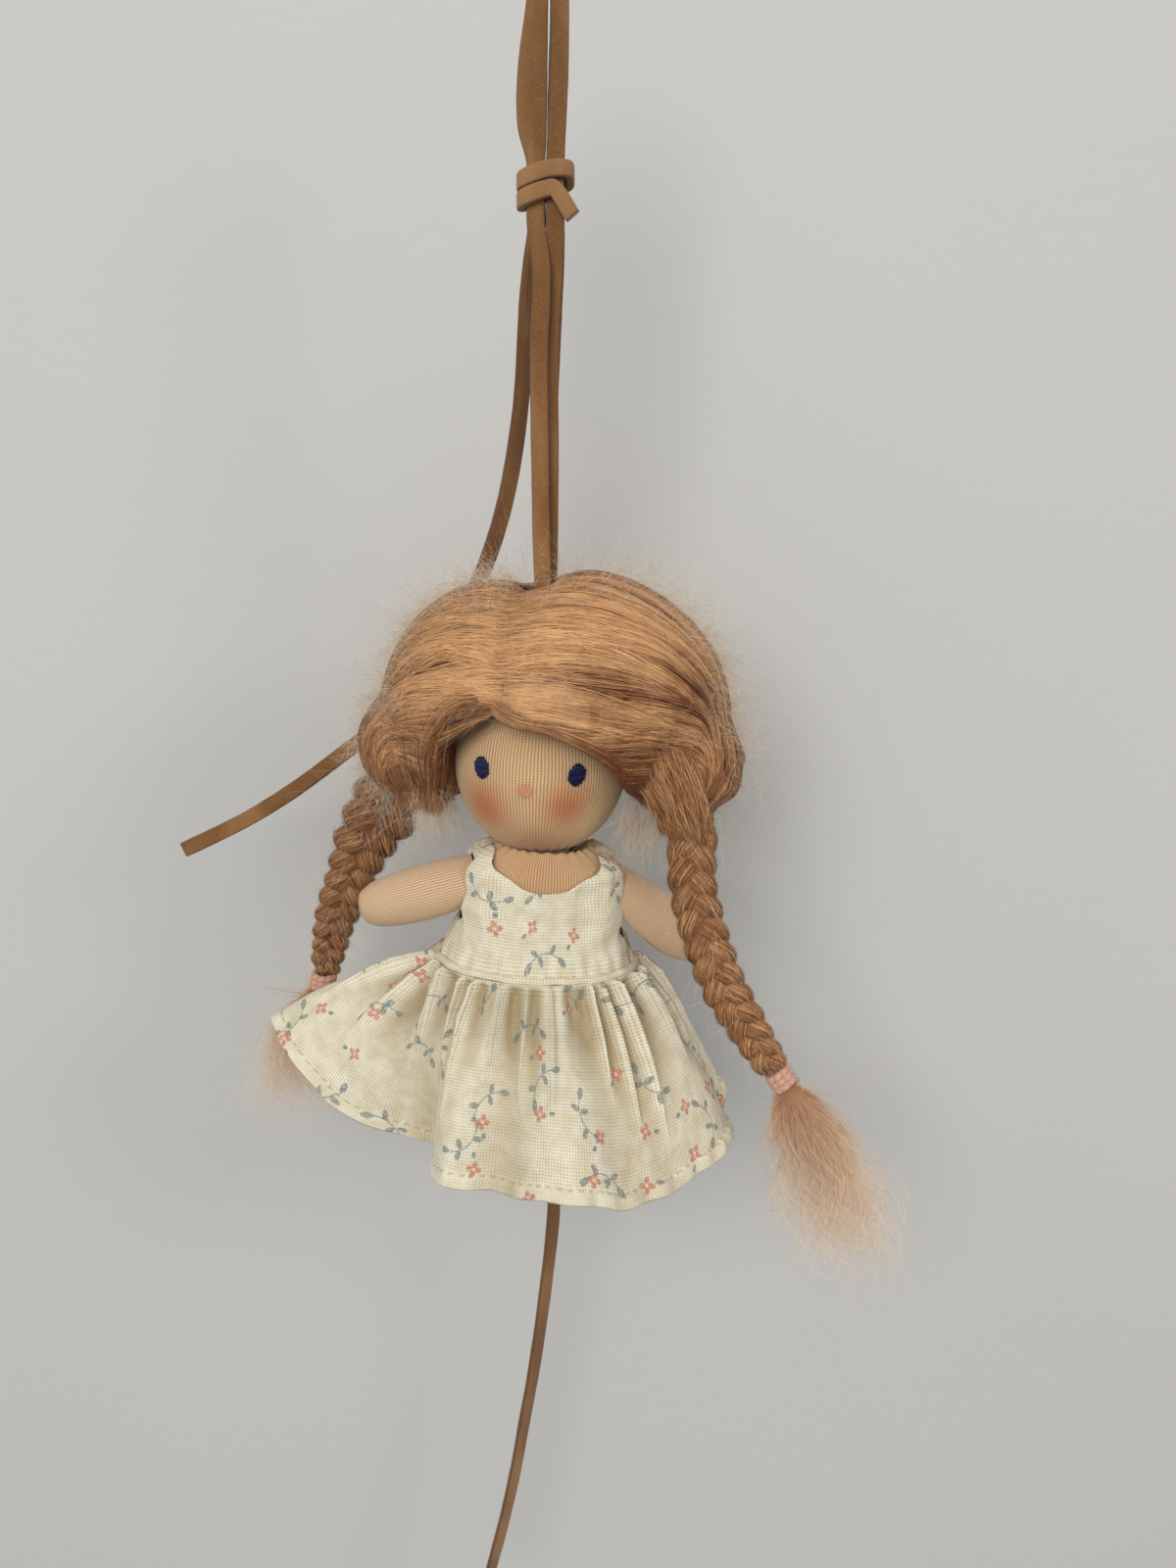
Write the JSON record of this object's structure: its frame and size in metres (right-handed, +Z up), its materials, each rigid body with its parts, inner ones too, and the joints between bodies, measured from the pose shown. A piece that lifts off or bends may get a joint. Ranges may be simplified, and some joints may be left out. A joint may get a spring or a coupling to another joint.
{
  "type": "hanging cloth doll",
  "caption": "Small stuffed cloth doll with mohair braids and a gathered print dress, hanging by the crown from a doubled, bound suede lace.",
  "frame": {"origin": "where a hook or peg bears on the inside of the hanging loops, midway across them", "axes": "+X is the viewer's right, +Y points away from the viewer, +Z is up"},
  "size_m": [0.1376, 0.0638, 0.3678],
  "materials": {
    "suede": "soft split leather, napped",
    "skin_knit": "fine cotton knit",
    "wool": "carded wool, packed",
    "mohair": "brushed mohair",
    "thread": "cotton thread",
    "eye_thread": "embroidery thread, satin",
    "nose_thread": "embroidery thread, matte",
    "elastic": "covered elastic, matte",
    "dress_cloth": "double gauze, crinkled",
    "horn": "cast resin, satin"
  },
  "bodies": {
    "hanger": {"hanging_loop_left": "suede", "hanging_loop_right": "suede", "lace_carrier": "suede", "lace_tail_short": "suede", "lace_tail_long": "suede", "wrap_knot": "suede"},
    "head": {"crown_loop": "thread", "head_skin": "skin_knit", "head_stuffing": "wool", "neck_tie": "thread", "eye_left": "eye_thread", "eye_right": "eye_thread", "nose_stitch": "nose_thread", "hair_left": "mohair", "hair_right": "mohair", "parting_seam": "thread"},
    "braid_left": {"braid_left": "mohair", "braid_tie_left": "elastic", "tuft_left": "mohair"},
    "braid_right": {"braid_right": "mohair", "braid_tie_right": "elastic", "tuft_right": "mohair"},
    "torso": {"torso_skin": "skin_knit", "torso_stuffing": "wool", "bodice": "dress_cloth", "back_button": "horn", "waist_piping": "dress_cloth", "skirt": "dress_cloth"},
    "arm_left": {"arm_left": "skin_knit", "arm_left_stuffing": "wool"},
    "arm_right": {"arm_right": "skin_knit", "arm_right_stuffing": "wool"},
    "leg_left": {"leg_left": "skin_knit", "leg_left_stuffing": "wool"},
    "leg_right": {"leg_right": "skin_knit", "leg_right_stuffing": "wool"}
  },
  "joints": [
    {"name": "doll_turn", "type": "hinge", "parent": "hanger", "child": "head", "pos_m": [0, 0, -0.117], "axis": [0, 0, 1], "range_deg": [-30, 30], "stiffness_Nm_per_rad": 0.0008, "deforming": ["lace_carrier", "lace_tail_short", "lace_tail_long"]},
    {"name": "neck_turn", "type": "hinge", "parent": "head", "child": "torso", "pos_m": [-0.0006, 0, -0.1546], "axis": [0.0694, 0.0073, 0.9976], "range_deg": [-3, 20], "stiffness_Nm_per_rad": 0.01},
    {"name": "arm_left_raise", "type": "hinge", "parent": "torso", "child": "arm_left", "pos_m": [-0.01245, -0.00125, -0.16018], "axis": [-0.1045, 0.9945, 0], "range_deg": [-8, 18], "stiffness_Nm_per_rad": 0.004},
    {"name": "arm_right_raise", "type": "hinge", "parent": "torso", "child": "arm_right", "pos_m": [0.01036, 0.00115, -0.16179], "axis": [-0.1045, 0.9945, 0], "range_deg": [-18, 8], "stiffness_Nm_per_rad": 0.004},
    {"name": "leg_left_swing", "type": "hinge", "parent": "torso", "child": "leg_left", "pos_m": [-0.01002, -0.00099, -0.18401], "axis": [0.9921, 0.1043, -0.0698], "range_deg": [-18, 18], "stiffness_Nm_per_rad": 0.003, "deforming": ["skirt"]},
    {"name": "leg_right_swing", "type": "hinge", "parent": "torso", "child": "leg_right", "pos_m": [0.00466, 0.00055, -0.18504], "axis": [0.9921, 0.1043, -0.0698], "range_deg": [-18, 18], "stiffness_Nm_per_rad": 0.003},
    {"name": "braid_left_swing", "type": "hinge", "parent": "head", "child": "braid_left", "pos_m": [-0.02538, 0.0032, -0.13481], "axis": [0, 1, 0], "range_deg": [-2, 15], "stiffness_Nm_per_rad": 0.006},
    {"name": "braid_right_swing", "type": "hinge", "parent": "head", "child": "braid_right", "pos_m": [0.0261, -0.00358, -0.13754], "axis": [0, 1, 0], "range_deg": [-15, 2], "stiffness_Nm_per_rad": 0.006}
  ]
}
